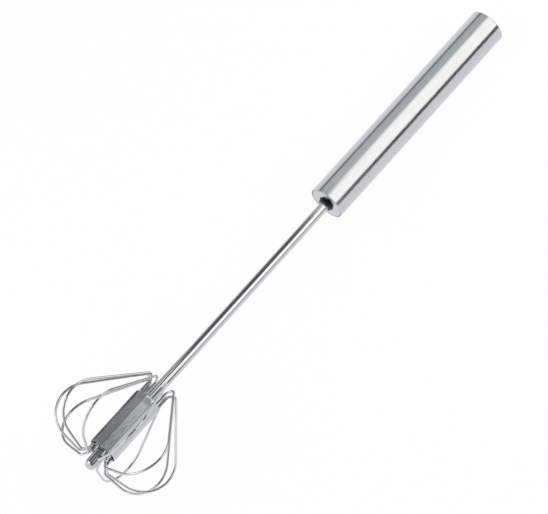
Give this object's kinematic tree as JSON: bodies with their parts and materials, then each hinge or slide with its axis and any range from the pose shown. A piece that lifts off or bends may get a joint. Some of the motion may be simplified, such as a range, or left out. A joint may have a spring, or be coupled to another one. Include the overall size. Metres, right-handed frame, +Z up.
{
  "type": "balloon whisk",
  "caption": "Hand whisk with a balloon of thin steel wires on a straight shaft; pushing its tubular handle down turns the balloon against a return spring.",
  "frame": {"origin": "middle of the underside of the whole whisk's box as it lies on a surface", "axes": "+X runs from the wire balloon towards the handle, +Z is up, and the whisk's own axis lies in the XZ plane, dipping 4.54 degrees towards the handle's end"},
  "size_m": [0.2998, 0.065, 0.0621],
  "materials": {
    "brushed_tube": "fine lengthwise brushed stainless steel",
    "pressed_cap": "smooth pressed stainless steel",
    "polished_shaft": "drawn and polished stainless steel",
    "bright_wire": "bright drawn stainless wire",
    "rolled_sheet": "satin rolled stainless sheet with crimp flats",
    "spring_steel": "bright hard-drawn steel",
    "black_bush": "black moulded acetal",
    "nylon": "natural white moulded nylon"
  },
  "bodies": {
    "handle": {"handle_tube": "brushed_tube", "handle_end_cap": "brushed_tube", "handle_base_cap": "pressed_cap", "guide_bush": "black_bush", "rod_anchor": "nylon", "anchor_pin": "spring_steel", "spiral_rod": "spring_steel", "return_spring": "spring_steel"},
    "carriage": {"thrust_washer": "spring_steel"},
    "whisk": {"drive_nut": "nylon", "shaft_tube": "polished_shaft", "nose_cap": "polished_shaft", "hub_core": "spring_steel", "crimp_sleeve": "rolled_sheet", "wire_01": "bright_wire", "wire_02": "bright_wire", "wire_03": "bright_wire", "wire_04": "bright_wire", "wire_05": "bright_wire", "wire_06": "bright_wire", "wire_07": "bright_wire", "wire_08": "bright_wire", "wire_09": "bright_wire", "wire_10": "bright_wire"}
  },
  "joints": [
    {"name": "plunge", "type": "slide", "parent": "handle", "child": "carriage", "axis": [0.9969, 0, -0.0791], "range_m": [0, 0.05], "stiffness_N_per_m": 80, "springref_m": -0.02, "deforming": ["return_spring"]},
    {"name": "whisk_spin", "type": "hinge", "parent": "carriage", "child": "whisk", "pos_m": [-0.12276, -0.0001, 0.03083], "axis": [0.9969, 0, -0.0791], "range_deg": [0, 720]}
  ],
  "couplings": [
    {"joint": "whisk_spin", "follows": "plunge", "rad_per_m": 251.33}
  ]
}
